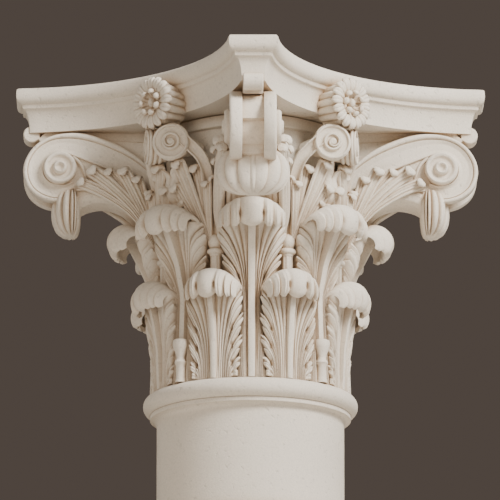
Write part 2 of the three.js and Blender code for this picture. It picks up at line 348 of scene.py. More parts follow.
abacus_profile = [(69.0, 14.0), (69.0, 3.2), (68.2, 1.8), (66.6, 0.8), (62.0, 0.1)]
abacus_profile += [(56.0, 0.0), (51.5, 1.0), (48.0, 3.0), (45.6, 5.6), (44.2, 8.2), (43.8, 9.6)]
abacus_profile += [(43.4, 9.9), (38.2, 10.2), (37.6, 10.6)]
for quarter in spread(0.0, math.pi / 2.0, 14):
    abacus_profile.append((36.8 * math.cos(quarter), 11.5 + 10.5 * math.sin(quarter)))
abacus_grid = np.stack([abacus_ring(inset, ABACUS_Z + rise) for rise, inset in abacus_profile])

BELL = [(BASE_Z, 147.0), (330.0, 138.0), (450.0, 133.0), (560.0, 134.0), (614.0, 137.0)]


def bell_radius(z):
    """The radius of the bell's face at a height."""
    return along(BELL, z)


bell_profile = [(0.0, BASE_Z)] + [(bell_radius(z), z) for z in spread(BASE_Z, 612.0, 24)]
bell_profile += [(141.0, 618.0), (148.6, 619.4), (149.4, 620.4), (150.0, 622.0), (150.0, 635.0)]
bell_profile += [(149.0, 637.0), (140.0, 638.0), (140.0, 641.0), (0.0, 641.0)]
bell_grid = lathed(bell_profile, 128)
bell_x, bell_y, bell_z = bell_grid[..., :1], bell_grid[..., 1:2], bell_grid[..., 2:]
lip = smooth(614.0, 620.0, bell_z) * (bell_z < 638.5)
bell_grid[..., :2] *= 1.0 - lip * 0.035 * np.cos(4.0 * np.arctan2(bell_y, bell_x))

placed("abacus", merged_mesh("abacus", [abacus_grid]), "capital")
placed("bell", merged_mesh("bell", [bell_grid]), "capital")


# ---------------------------------------------------------------- two rows of acanthus leaves
# Eight low leaves and eight tall ones climb the bell and roll over in ribbed heads.
# Each is carved once, lobes, fingers and drilled eyes included, and set round the bell.

def ring_tree():
    """Copies of one carved piece, turned in even steps round the column's axis."""
    tree = bpy.data.node_groups.new("set_round_the_column", "GeometryNodeTree")
    face = tree.interface
    face.new_socket("Geometry", in_out="INPUT", socket_type="NodeSocketGeometry")
    face.new_socket("Copies", in_out="INPUT", socket_type="NodeSocketInt")
    face.new_socket("First Turn", in_out="INPUT", socket_type="NodeSocketFloat")
    face.new_socket("Stone", in_out="INPUT", socket_type="NodeSocketMaterial")
    face.new_socket("Geometry", in_out="OUTPUT", socket_type="NodeSocketGeometry")
    add, join = tree.nodes.new, tree.links.new
    given, result = add("NodeGroupInput"), add("NodeGroupOutput")
    spots, index = add("GeometryNodePoints"), add("GeometryNodeInputIndex")
    step, turn, total = add("ShaderNodeMath"), add("ShaderNodeMath"), add("ShaderNodeMath")
    step.operation, turn.operation, total.operation = "DIVIDE", "MULTIPLY", "ADD"
    spin = add("ShaderNodeCombineXYZ")
    copies, realised = add("GeometryNodeInstanceOnPoints"), add("GeometryNodeRealizeInstances")
    finish = add("GeometryNodeSetMaterial")
    join(given.outputs["Copies"], spots.inputs["Count"])
    step.inputs[0].default_value = 2.0 * math.pi
    join(given.outputs["Copies"], step.inputs[1])
    join(index.outputs[0], turn.inputs[0])
    join(step.outputs[0], turn.inputs[1])
    join(turn.outputs[0], total.inputs[0])
    join(given.outputs["First Turn"], total.inputs[1])
    join(total.outputs[0], spin.inputs["Z"])
    join(spots.outputs[0], copies.inputs["Points"])
    join(given.outputs["Geometry"], copies.inputs["Instance"])
    join(spin.outputs[0], copies.inputs["Rotation"])
    join(copies.outputs[0], realised.inputs[0])
    join(realised.outputs[0], finish.inputs["Geometry"])
    join(given.outputs["Stone"], finish.inputs["Material"])
    join(finish.outputs[0], result.inputs[0])
    return tree


round_the_column = ring_tree()


def set_round(name, mesh, copies, first_turn):
    """The carved piece repeated round the bell and made one plain mesh."""
    maker = bpy.data.objects.new(name, mesh)
    bpy.context.collection.objects.link(maker)
    ring = maker.modifiers.new("set round", "NODES")
    ring.node_group = round_the_column
    settings = {"Copies": copies, "First Turn": math.radians(first_turn), "Stone": stone}
    for socket in round_the_column.interface.items_tree:
        if socket.in_out == "INPUT" and socket.name in settings:
            ring[socket.identifier] = settings[socket.name]
    bpy.context.view_layer.update()
    whole = bpy.data.meshes.new_from_object(maker.evaluated_get(bpy.context.evaluated_depsgraph_get()))
    whole.name = name
    bpy.data.objects.remove(maker)
    return placed(name, whole, "capital")


LOW_LEAF = {
    "turns": BASE_Z, "top": 352.0, "rib": 5.0, "lobes": 4, "foot": 0.93,
    "width": [(BASE_Z, 38.0), (235.0, 43.0), (270.0, 45.0), (325.0, 47.0), (352.0, 44.0)],
    "stem": [(BASE_Z, 30.0), (352.0, 30.0)],
    "relief": [(BASE_Z, 13.0), (270.0, 20.0), (310.0, 29.0), (345.0, 40.0), (356.0, 48.0)],
    "head": {"r": 172.0, "z": 353.0, "size": 28.5, "half": 44.0, "hang": 54.0, "ribs": (0.30, 0.62, 0.86)},
}
TALL_LEAF = {
    "turns": 322.0, "top": 458.0, "rib": 6.0, "lobes": 3, "foot": 1.0,
    "width": [(BASE_Z, 22.0), (322.0, 17.0), (352.0, 30.0), (392.0, 44.0), (432.0, 51.0), (458.0, 48.0)],
    "stem": [(BASE_Z, 22.0), (300.0, 16.0), (322.0, 17.0), (458.0, 24.0)],
    "relief": [(BASE_Z, 13.0), (350.0, 18.0), (398.0, 33.0), (430.0, 50.0), (452.0, 62.0), (462.0, 68.0)],
    "head": {"r": 201.0, "z": 461.0, "size": 28.5, "half": 53.0, "hang": 58.0, "ribs": (0.31, 0.60, 0.84)},
}


def round_bell(z, side, lift):
    """A point of carving at a height, an arc length round the bell and a height off its face."""
    base = bell_radius(z)
    angle = side / (base + np.maximum(lift, 0.0) * 0.5)
    return stack((base + lift) * np.cos(angle), (base + lift) * np.sin(angle), z)


ACROSS_LEAF = [(0.0, 1.02), (0.10, 0.80), (0.26, 0.66), (0.45, 0.76), (0.66, 0.88), (0.84, 0.76), (1.0, 0.56)]


def leaf_blade(leaf):
    """Half of a blade follows its veins out to the fingers; the other half mirrors it."""
    foot, top, turns, rib = BASE_Z, leaf["top"], leaf["turns"], leaf["rib"]
    fingers = 3
    side_columns = leaf["lobes"] * fingers * 7 + 1
    flutes, top_columns, rib_columns, rows = 3, 30, 5, 25

    # Each vein ends on the outline: up the side through the lobes, then along the top to the rib.
    side_place = spread(0.0, 1.0, side_columns)
    over_place = spread(0.0, 1.0, top_columns + 1)[1:]
    end_z = np.concatenate([turns + (top - turns) * side_place ** 0.92, np.full(top_columns, top)])
    edge_top = along(leaf["width"], top)
    side_b = along(leaf["width"], end_z[:side_columns])
    end_b = np.concatenate([side_b, edge_top + (rib - edge_top) * over_place])
    share = np.concatenate([side_place * 0.62, 0.62 + 0.38 * over_place])
    on_side = np.concatenate([np.ones(side_columns), np.zeros(top_columns)])

    # The edge is cut into lobes, and each lobe into three fingers, the last the longest.
    lobe = side_place * leaf["lobes"]
    in_lobe = np.clip(lobe - np.floor(np.minimum(lobe, leaf["lobes"] - 0.001)), 0.0, 1.0)
    finger = in_lobe * fingers
    in_finger = np.clip(finger - np.floor(np.minimum(finger, fingers - 0.001)), 0.0, 1.0)
    lobe_cut = 13.0 * np.abs((in_lobe - 0.58) / 0.58) ** 2.4
    finger_cut = 7.0 * np.abs(2.0 * in_finger - 1.0) ** 2.6
    grown = smooth(0.0, 0.12, side_place)
    cut = np.concatenate([(lobe_cut + finger_cut) * grown, np.zeros(top_columns)])
    cup = np.concatenate([np.abs(2.0 * in_lobe - 1.0) ** 3 * grown, np.zeros(top_columns)])
    ridge = np.concatenate([np.sin(math.pi * in_finger), np.abs(np.sin(math.pi * flutes * over_place))])
    split = np.concatenate([in_finger, np.full(top_columns, 0.5)])

    height = np.maximum(end_z - turns, 0.001)
    path = spread(0.0, 1.0, rows)[:, None] ** 0.85
    length = np.hypot(end_z - foot, end_b) + 0.001
    reach = np.clip(1.0 - cut / length, 0.2, 1.0)
    z = foot + (end_z - foot) * path * reach
    stem = along(leaf["stem"], z) * leaf["foot"]
    start = stem * (1.0 - share) + rib * share
    stem_end = along(leaf["stem"], end_z) * leaf["foot"] * (1.0 - share) + rib * share
    climb = np.clip((z - turns) / height, 0.0, 1.0)
    b = start + (end_b - stem_end) * climb ** 2.7

    # Rounded ridges run up the veins; the edges stand off the bell, the fingers curl forward.
    wide = along(leaf["width"], z)
    across = np.clip(b / wide, 0.0, 1.0)
    swell = along(ACROSS_LEAF, across)
    relief = along(leaf["relief"], z)
    tip = smooth(0.62, 0.97, path) * on_side
    edge = smooth(0.93, 1.0, path) * on_side
    lift = relief * swell + (ridge ** 0.7 - 0.55) * (1.8 + 2.8 * smooth(0.2, 0.8, path))
    lift -= cup * (2.2 + 5.6 * smooth(0.35, 0.9, path))
    lift += tip * 5.2 * (1.0 - 0.7 * cup) - edge * 2.8
    lift -= 2.2 * np.exp(-((split - 0.5) / 0.15) ** 2) * smooth(0.5, 0.8, path) * on_side
    gap = smooth(3.0, 1.0, np.abs(b - rib - 1.5)) * 2.4
    lift -= gap * smooth(0.0, 0.2, path)

    # A drilled eye sinks at the foot of every cut between two lobes.
    eye_row = int(rows * 0.80)
    for cut_place in range(1, leaf["lobes"]):
        column = int(round((side_columns - 1) * cut_place / leaf["lobes"]))
        eye_z, eye_b = z[eye_row, column], b[eye_row, column]
        spot = np.hypot((z - eye_z) / 5.0, (b - eye_b) / 2.6)
        lift -= 8.5 * np.clip(1.0 - spot ** 2, 0.0, 1.0) ** 0.6

    # The middle rib is a round bar between two grooves.
    across_rib = spread(1.0, 0.0, rib_columns + 1)[1:]
    bar_z = foot + (top - foot) * path * np.ones(rib_columns)
    bar_b = rib * across_rib * np.ones((rows, 1))
    roundness = np.sqrt(np.clip(1.0 - across_rib ** 2, 0.0, 1.0))
    bar_lift = along(leaf["relief"], bar_z) * 1.02 + 2.8 * roundness - 1.6
    z = np.concatenate([z, bar_z], axis=1)
    b = np.concatenate([b, bar_b], axis=1)
    lift = np.concatenate([lift, bar_lift], axis=1)
    back_z = np.concatenate([foot + (end_z - foot) * 0.97, np.full(rib_columns, top)])
    back_b = np.concatenate([end_b * 0.86 * on_side + end_b * (1.0 - on_side), rib * across_rib])

    # Front, the wall under the edge, and a back inside the bell make one closed skin.
    inside = -5.0
    foot_b = b[:1]
    front = round_bell(z, b, lift)
    wall = round_bell(z[-1:] * 0.5 + back_z * 0.5, b[-1:] * 0.45 + back_b * 0.5, lift[-1:] * 0.45)
    sill = round_bell(np.full_like(foot_b, foot), foot_b, np.full_like(foot_b, inside))
    back = round_bell(back_z[None], back_b[None], np.full_like(foot_b, inside))
    hub = round_bell(np.full_like(foot_b, foot), foot_b * 0.0, np.full_like(foot_b, inside))
    spine = round_bell(back_z[None], back_b[None] * 0.0, np.full_like(foot_b, inside))
    main = np.concatenate([hub, sill, front, wall, back, spine])
    wall_z = z[-1, 0] * 0.5 + back_z[0] * 0.5
    side_z = np.concatenate([[foot, foot], z[:, 0], [wall_z, back_z[0], back_z[0]]])
    side_b = np.concatenate([[0.0, foot_b[0, 0]], b[:, 0] * 0.9, [back_b[0], back_b[0], 0.0]])
    flank = round_bell(side_z, side_b, np.full_like(side_z, inside))[:, None]
    middle = round_bell(side_z, side_b * 0.0, np.full_like(side_z, inside))[:, None]
    half = np.concatenate([middle, flank, main], axis=1)
    other = half * np.array([1.0, -1.0, 1.0])
    return [half, other]


def leaf_head(head):
    """The rolled-over tip: a thick ribbed shell that hangs in a scalloped edge."""
    columns, drop_rows, under_rows = 85, 30, 11
    v = spread(-1.0, 1.0, columns)
    sag = v ** 2
    size = head["size"] * (1.0 - 0.30 * np.abs(v) ** 2.4)
    centre_z = head["z"] - 15.0 * sag
    centre_r = head["r"] - 12.0 * sag

    # Ribs meet in grooves that deepen toward the lower edge; two of them end in drilled eyes.
    bounds = np.array(sorted([-1.0, 1.0] + [side * mark for mark in head["ribs"] for side in (-1.0, 1.0)]))
    rib = np.clip(np.searchsorted(bounds, v, side="right") - 1, 0, len(bounds) - 2)
    within = (v - bounds[rib]) / (bounds[rib + 1] - bounds[rib])
    round_rib = np.sin(math.pi * np.clip(within, 0.0, 1.0)) ** 0.6
    big = along([(0.0, 1.0), (0.45, 0.86), (0.8, 0.7), (1.0, 0.5)], np.abs(v))

    hang = head["hang"] * (1.0 - 0.52 * sag) * (0.80 + 0.20 * round_rib)
    share = spread(0.0, 1.0, drop_rows)[:, None]
    angle = np.radians(160.0 - (160.0 + hang) * share)
    low = smooth(0.34, 0.80, share)
    groove = (1.0 - round_rib) * (0.6 + 6.4 * low) * big
    fine = 0.9 * np.cos(v * 62.0) * low * smooth(0.1, 0.3, np.abs(v)) * round_rib
    bead = size + 2.0 * low * round_rib - groove + fine
    for mark in (-head["ribs"][0], head["ribs"][0]):
        eye = np.hypot((v - mark) / 0.05, (share - 0.80) / 0.075)
        bead -= 6.0 * np.clip(1.0 - eye ** 2, 0.0, 1.0) ** 0.5
    lip = smooth(0.90, 1.0, share)
    bead -= 3.2 * lip ** 2
    r = centre_r + bead * np.cos(angle)
    z = centre_z + bead * np.sin(angle)

    thick = 8.5 * (1.0 - 0.45 * sag)
    back_share = spread(0.985, 0.10, under_rows)[:, None]
    back_angle = np.radians(160.0 - (160.0 + hang) * back_share)
    back_bead = size - thick - 0.45 * groove[-1:]
    under_r = centre_r + back_bead * np.cos(back_angle)
    under_z = centre_z + back_bead * np.sin(back_angle)
    r = np.concatenate([r, under_r, r[:1]])
    z = np.concatenate([z, under_z, z[:1]])
    side = head["half"] * (v + 0.05 * np.sin(math.pi * v)) * np.ones_like(r)
    tuck = smooth(0.80, 1.0, np.abs(v))
    r = r - 3.0 * tuck
    return [stack(r, side, z)]


def leaf_mesh(name, leaf):
    return merged_mesh(name, leaf_blade(leaf) + leaf_head(leaf["head"]), 50.0)


set_round("low_leaves", leaf_mesh("low_leaf", LOW_LEAF), 8, 22.5)
set_round("tall_leaves", leaf_mesh("tall_leaf", TALL_LEAF), 8, 0.0)


# ---------------------------------------------------------------- scroll brackets under the horns
# Two scrolled plates carry each horn, with a web and a tongue between them, cut from the same block.
# A leaf arches out beneath and hangs its ribbed head below; rolled leaflets spread up each side.

def curve(knots, count):
    """A smooth line through points."""
    knots = np.array(knots, dtype=float)
    padded = np.vstack([2.0 * knots[0] - knots[1], knots, 2.0 * knots[-1] - knots[-2]])
    place = spread(0.0, len(knots) - 1.0, count)
    first = np.minimum(place.astype(int), len(knots) - 2)
    t = (place - first)[:, None]
    a, b, c, d = padded[first], padded[first + 1], padded[first + 2], padded[first + 3]
    return b + 0.5 * t * ((c - a) + t * (2.0 * a - 5.0 * b + 4.0 * c - d + t * (3.0 * b - a - 3.0 * c + d)))


def closed(ring):
    return np.concatenate([ring, ring[:1]])


def slab(outline, near, far, soften=1.2):
    """A flat shape in the plane of a horn, with thickness along Y and softened edges."""
    outline = np.array(outline, dtype=float)
    run = np.roll(outline, -1, axis=0) - np.roll(outline, 1, axis=0)
    run /= np.linalg.norm(run, axis=1)[:, None]
    area = np.sum(outline[:, 0] * np.roll(outline[:, 1], -1) - np.roll(outline[:, 0], -1) * outline[:, 1])
    inward = stack(-run[:, 1], run[:, 0]) * (1.0 if area > 0 else -1.0)
    rows = []
    for shrink, y in ((soften, near), (0.0, near + soften), (0.0, far - soften), (soften, far)):
        ring = closed(outline + inward * shrink)
        rows.append(stack(ring[:, 0], y, ring[:, 1]))
    return np.stack(rows)


def sweep(path, facing, section, half, deep):
    """A closed section carried along a path; `facing` is the way its front looks."""
    path, facing = np.array(path, dtype=float), np.array(facing, dtype=float)
    along_it = np.gradient(path, axis=0)
    along_it /= np.linalg.norm(along_it, axis=1)[:, None]
    front = facing - along_it * np.sum(facing * along_it, axis=1)[:, None]
    front /= np.linalg.norm(front, axis=1)[:, None]
    side = np.cross(along_it, front)
    section = closed(np.array(section, dtype=float))
    half = np.broadcast_to(half, len(path))[:, None, None]
    deep = np.broadcast_to(deep, len(path))[:, None, None]
    return (path[:, None] + side[:, None] * section[None, :, :1] * half
            + front[:, None] * section[None, :, 1:] * deep)


def mirrored(grids):
    return grids + [grid * np.array([1.0, -1.0, 1.0]) for grid in grids]


SCROLL_EYE = (307.0, 576.0)
PLATE_IN, PLATE_OUT = 17.0, 31.0
OUTER_EDGE = [(140, 553), (171, 586), (198, 607), (228, 622), (259, 632), (288, 635), (320, 630), (346, 615),
              (362, 592), (366, 568), (358, 544), (340, 528), (316, 521), (290, 523)]
INNER_EDGE = [(140, 520), (165, 540), (192, 556), (222, 570), (252, 583), (282, 595), (307, 602), (325, 594),
              (333, 580), (332, 565), (323, 554), (310, 550), (298, 550), (286, 554)]
CHANNEL = [(0.0, 2.0), (0.02, 4.4), (0.06, 5.6), (0.11, 6.0), (0.16, 5.4), (0.19, 4.2), (0.205, 1.6),
           (0.225, 1.0), (0.245, 2.6), (0.28, 2.4), (0.36, 0.9), (0.48, -0.4), (0.60, -0.9), (0.72, -0.4),
           (0.82, 0.7), (0.88, 1.8), (0.91, 3.8), (0.95, 4.6), (0.985, 3.8), (1.0, 1.2)]


def scroll_band():
    """The moulded band that runs from the bell round the scroll."""
    outer, inner = curve(OUTER_EDGE, 90), curve(INNER_EDGE, 90)
    shares = np.array([share for share, _ in CHANNEL])
    rises = np.array([rise for _, rise in CHANNEL])
    loop_share = np.concatenate([[1.0, 0.035, 0.0, 0.0], shares, [1.0]])
    behind = [PLATE_IN, PLATE_IN, PLATE_IN + 1.4, PLATE_OUT]
    loop_y = np.concatenate([behind, PLATE_OUT + rises, [PLATE_IN]])
    flat = outer[:, None] + (inner - outer)[:, None] * loop_share[None, :, None]
    return stack(flat[..., 0], loop_y[None], flat[..., 1])


def scroll_eye():
    """The standing disc at the heart of the scroll, with its rim, groove and dimpled boss."""
    profile = [(27.0, 26.0), (27.0, 40.0), (26.2, 43.0), (24.0, 45.0), (21.5, 45.0), (19.6, 43.4)]
    profile += [(18.2, 41.2), (15.5, 40.4), (12.6, 41.0), (11.4, 44.5), (10.0, 47.4), (8.0, 48.6)]
    profile += [(6.2, 47.8), (4.8, 45.2), (2.5, 44.0), (0.0, 43.8)]
    turn = spread(0.0, 2.0 * math.pi, 49)
    reach, y = np.array(profile)[:, :1], np.array(profile)[:, 1:]
    return stack(SCROLL_EYE[0] + reach * np.cos(turn), y, SCROLL_EYE[1] + reach * np.sin(turn))


HALF_ROUND = [(-1.0, -0.6), (-0.9, 0.35), (-0.5, 0.85), (0.0, 1.0), (0.5, 0.85), (0.9, 0.35), (1.0, -0.6)]


def bar(knots, y, half, deep, count=24):
    """A half-round bar along a line on a plate."""
    line = curve(knots, count)
    path = stack(line[:, 0], y, line[:, 1])
    taper = 1.0 - 0.6 * spread(0.0, 1.0, count) ** 3
    return sweep(path, np.tile([0.0, 1.0, 0.0], (count, 1)), HALF_ROUND, half * taper, deep * taper)


def horn_arch():
    """The arched back of the leaf below the scroll, fluted beneath."""
    count = 30
    upper = curve([(126, 446), (150, 466), (181, 500), (214, 532), (246, 545), (272, 547), (290, 540)], count)
    lower = curve([(126, 436), (146, 440), (162, 460), (186, 492), (212, 513), (240, 520), (266, 514),
                   (284, 500)], count)
    half = along([(0.0, 33.0), (0.3, 38.0), (0.8, 38.0), (1.0, 30.0)], spread(0.0, 1.0, count))[:, None]
    v = spread(-1.0, 1.0, 49)[None]
    middle = (upper + lower)[:, None] / 2.0
    round_off = (1.0 - np.abs(v) ** 9) ** 0.5
    flute = np.abs(np.sin(v * math.pi * 3.5)) ** 0.6 * 3.0 * round_off
    top = middle + (upper[:, None] - middle) * round_off[..., None]
    under = middle + (lower[:, None] - middle) * round_off[..., None]
    under[..., 1] += 3.0 - flute
    above, below = (stack(face[..., 0], v * half, face[..., 1]) for face in (top, under))
    return closed(np.concatenate([above, below[::-1]]))


def horn_head():
    """The head that hangs from the arch: rounded ribs that meet above and below, flat behind."""
    centre, sizes = (287.0, 508.0), (34.0, 59.0, 38.0)
    turn = spread(-180.0, 180.0, 161)
    marks = (4.0, 30.0, 58.0, 84.0, 104.0, 128.0, 180.0)
    bounds = np.array(sorted(side * mark for mark in marks for side in (-1, 1)))
    rib = np.clip(np.searchsorted(bounds, turn, side="right") - 1, 0, len(bounds) - 2)
    within = np.clip((turn - bounds[rib]) / (bounds[rib + 1] - bounds[rib]), 0.0, 1.0)
    groove = (1.0 - np.sin(math.pi * within) ** 0.5) * np.where(np.abs(turn) < 16.0, 0.34, 1.0)
    down = spread(0.0, 1.0, 36)[:, None]
    rise = np.radians(84.0 - 172.0 * down)
    swell = 1.0 - 0.24 * groove * smooth(0.0, 0.2, down) * smooth(1.0, 0.9, down)
    level = np.abs(np.cos(rise)) ** 0.60 * swell
    tall = np.sin(rise) * (swell * 0.5 + 0.5)
    out = np.cos(np.radians(turn))
    out = np.where(out < 0.0, 0.42 * out, out)
    return stack(centre[0] + sizes[0] * level * out, sizes[1] * level * np.sin(np.radians(turn)),
                 centre[1] + sizes[2] * tall)


LEAFLET = [(-1.0, 0.0), (-0.86, 0.62), (-0.66, 0.78), (-0.46, 0.42), (-0.24, 1.0), (0.0, 0.66), (0.24, 1.0),
           (0.46, 0.42), (0.66, 0.78), (0.86, 0.62), (1.0, 0.0), (0.7, -0.8), (0.25, -1.0), (0.0, -0.8),
           (-0.25, -1.0), (-0.7, -0.8)]
LEAFLET_HALF = [(0.0, 0.40), (0.14, 0.72), (0.28, 1.02), (0.42, 1.12), (0.6, 1.0), (0.85, 0.8), (1.0, 0.3)]
LEAFLET_DEEP = [(0.0, 0.62), (0.3, 0.56), (0.45, 0.42), (0.9, 0.34), (1.0, 0.15)]


def leaflet(foot, tip, bow, facing, half):
    """One leaflet of a spray: narrow at its foot, broad and ridged above, its tip rolled over forward."""
    count = 26
    foot, tip, bow, facing = (np.array(place, dtype=float) for place in (foot, tip, bow, facing))
    rise = (tip - foot) / np.linalg.norm(tip - foot)
    facing = facing - rise * np.dot(facing, rise)
    facing /= np.linalg.norm(facing)
    route = [foot, foot * 0.65 + tip * 0.35 + bow, foot * 0.28 + tip * 0.72 + bow * 0.7, tip]
    for forward, up in ((0.45, 0.30), (0.95, 0.22), (1.20, -0.20), (1.10, -0.62)):
        route.append(tip + facing * forward * half + rise * up * half)
    line = curve(route, count)
    run = np.gradient(line, axis=0)
    turned = np.outer(run @ rise, facing) - np.outer(run @ facing, rise)
    share = spread(0.0, 1.0, count)
    return sweep(line, turned, LEAFLET, half * along(LEAFLET_HALF, share), half * along(LEAFLET_DEEP, share))


def bracket_side():
    """One plate with its band, eye and bars, and the leaflets that spread in front of it."""
    under_edge = [(290, 523), (268, 534), (240, 536), (212, 524), (184, 500), (160, 470), (140, 456)]
    outline = np.concatenate([curve(OUTER_EDGE, 60)[:-1], curve(under_edge, 20)])
    plate = np.array(SCROLL_EYE) + (outline - np.array(SCROLL_EYE)) * 0.985
    grids = [slab(plate, PLATE_IN + 1.0, PLATE_OUT), scroll_band(), scroll_eye()]
    grids.append(bar([(286, 596), (274, 584), (266, 566), (262, 546)], PLATE_OUT, 3.4, 4.2))
    grids.append(bar([(150, 452), (181, 492), (218, 529), (250, 540), (280, 540)], 37.0, 4.6, 5.0, 40))
    grids.append(bar([(150, 463), (181, 503), (218, 538), (250, 548), (274, 548)], 36.0, 3.6, 5.0, 40))
    for tip, bow, half in (((272, 42, 550), (-4, 2, 20), 9.0), ((254, 47, 568), (-6, 4, 14), 10.5),
                           ((228, 45, 566), (-5, 3, 8), 9.5), ((204, 51, 566), (-3, 5, 3), 10.5),
                           ((182, 51, 552), (-1, 3, 0), 9.5), ((163, 57, 528), (0, 4, 0), 8.5)):
        grids.append(leaflet((150, 48, 438), tip, bow, (0.25, 1.0, 0.0), half))
    return grids


def bracket_middle():
    """What fills the space between the plates: the web, the rolled tongue and the leaf's neck."""
    web = [(150, 622), (310, 632), (338, 616), (346, 604), (347, 580), (344, 578.5), (340, 577), (338, 560),
           (330, 546), (310, 536), (244, 540), (150, 480)]
    roll = arc((353, 637), 13.6, 205.0, -140.0, 26)
    tongue = [(150, 618), (330, 624), (337, 622)] + roll[::-1] + [(330, 642), (150, 642)]
    neck = curve([(312, 548), (322, 548), (324, 541), (322, 530)], 10).tolist() + [(300, 520), (300, 548)]
    return [slab(web, -18.0, 18.0), slab(tongue, -16.0, 16.0, 1.6), slab(neck, -19.0, 19.0, 3.0)]


bracket = mirrored(bracket_side()) + bracket_middle() + [horn_arch(), horn_head()]
set_round("horn_brackets", merged_mesh("horn_bracket", bracket, 42.0), 4, 45.0)


# ---------------------------------------------------------------- small scrolls and stalks at mid-side
# From a ringed stalk between the tall leaves a channelled stem climbs to a small scroll under the rosette.
# Leaf sprays spread in front of each stem, and a bud stands between the two scrolls.

SMALL = {"r": 210.0, "side": 27.0, "z": 588.0, "radius": 30.5, "turned": 38.0}


def scroll_frame(depth, across, up):
    """Places on a small scroll: in from its face, across it toward the horn, and up."""
    out, aside = math.cos(math.radians(SMALL["turned"])), math.sin(math.radians(SMALL["turned"]))
    lean = np.where(depth < -30.0, 0.0, aside)
    x = SMALL["r"] - across * aside + depth * out
    return stack(x, SMALL["side"] + across * out + depth * lean, SMALL["z"] + up)


def small_scroll():
    """The scroll's face, raised ring and eye, and its edge of three rounded ridges."""
    profile = [(-78.0, 10.0), (-30.0, 24.0)]
    for share in spread(0.0, 1.0, 25):
        ridge = abs(math.sin(share * 3.0 * math.pi)) ** 0.8
        profile.append((-25.0 + 23.6 * share, SMALL["radius"] - 3.6 + 3.6 * ridge - 3.0 * (1.0 - share)))
    profile += [(-0.9, 28.4), (0.4, 28.2), (1.4, 27.2), (1.5, 25.6), (0.6, 24.6), (-1.2, 24.2), (-2.0, 22.0),
                (-2.2, 18.0), (-1.6, 15.8), (1.2, 15.0), (3.0, 13.8), (3.2, 12.2), (2.4, 10.9), (-0.8, 10.2)]
    profile += [(-1.2, 6.6), (1.6, 5.8), (3.0, 4.2), (3.2, 2.0), (2.8, 0.0)]
    turn = spread(0.0, 2.0 * math.pi, 65)
    depth, reach = np.array(profile)[:, :1], np.array(profile)[:, 1:]
    return scroll_frame(depth, reach * np.cos(turn), reach * np.sin(turn))


def small_curl():
    """The little spiral that joins the raised ring to the eye."""
    count = 40
    share = spread(0.0, 1.0, count)
    angle, reach = np.radians(70.0 + 300.0 * share), 12.6 - 7.6 * share
    line = scroll_frame(np.full(count, 1.2), reach * np.cos(angle), reach * np.sin(angle))
    inner, outer = (scroll_frame(np.array([depth]), 0.0, 0.0) for depth in (0.0, 1.0))
    out = np.tile(outer - inner, (count, 1))
    return sweep(line, out, HALF_ROUND, 1.7, 2.2)


HALF_CHANNEL = [(0.4, -0.25), (0.62, 0.1), (0.70, 0.8), (0.82, 1.0), (0.94, 0.75), (1.0, 0.1), (1.0, -1.4)]
CHANNELLED = [(-across, rise) for across, rise in HALF_CHANNEL[::-1]] + [(0.0, -0.4)] + HALF_CHANNEL


def small_stem():
    """The channelled stem that climbs from its stalk and winds over the scroll."""
    count = 64
    round_it = np.radians([10.0, 35.0, 62.0, 90.0, 122.0])
    over = scroll_frame(np.full(len(round_it), -3.2), 20.5 * np.cos(round_it), 20.5 * np.sin(round_it))
    climb = [(140, 60, 436), (145, 58, 470), (150, 58, 505), (158, 60, 538), (173, 57, 566)]
    line = curve(climb + over.tolist(), count)
    share = spread(0.0, 1.0, count)
    lean = np.radians(24.0 + 14.0 * smooth(0.2, 0.65, share))
    half = along([(0.0, 7.0), (0.35, 9.5), (0.6, 10.5), (1.0, 9.0)], share)
    deep = along([(0.0, 4.5), (0.6, 4.6), (0.8, 4.4), (1.0, 2.0)], share)
    return sweep(line, stack(np.cos(lean), np.sin(lean), 0.0), CHANNELLED, half, deep)


def standing(profile, r, turn_degrees, flutes=0, fluted=0.0):
    """A small turned piece of (radius, z) that stands on the bell at a turn from mid-side."""
    profile = np.array(profile, dtype=float)
    turn = spread(0.0, 2.0 * math.pi, 41)
    reach = profile[:, :1] * (1.0 - (fluted * (np.cos(turn * flutes) * 0.5 + 0.5) if flutes else 0.0))
    x, y = r + reach * np.cos(turn), reach * np.sin(turn)
    cos, sin = math.cos(math.radians(turn_degrees)), math.sin(math.radians(turn_degrees))
    return stack(x * cos - y * sin, x * sin + y * cos, profile[:, 1:])


def stalk():
    """The fluted stalk between two tall leaves, with its ring and bulb."""
    shaft = [(0.0, 360.0), (8.5, 360.0), (8.8, 409.0)]
    ring = [(0.0, 405.0), (9.0, 406.0)] + arc((9.5, 414.0), 4.6, -80.0, 80.0, 12) + [(8.6, 420.0)]
    bulb = [(8.6, 419.5), (10.0, 420.5)] + arc((1.0, 430.5), 12.6, -38.0, 60.0, 14) + [(0.0, 445.0)]
    place = (148.0, 22.5)
    return [standing(shaft, *place, flutes=8, fluted=0.16), standing(ring, *place), standing(bulb, *place)]


def baluster():
    """The short footing of the mid-side leaf, with a flared cap and a ring."""
    profile = [(0.0, BASE_Z), (9.6, BASE_Z), (8.0, 214.0), (7.6, 234.0), (9.0, 236.0), (10.6, 239.0)]
    profile += [(9.0, 242.0), (7.2, 244.0), (7.0, 248.0), (9.5, 256.0), (12.6, 264.0), (13.6, 270.0)]
    profile += [(12.4, 275.0), (8.0, 277.0), (0.0, 278.0)]
    return standing(profile, 158.0, 0.0)


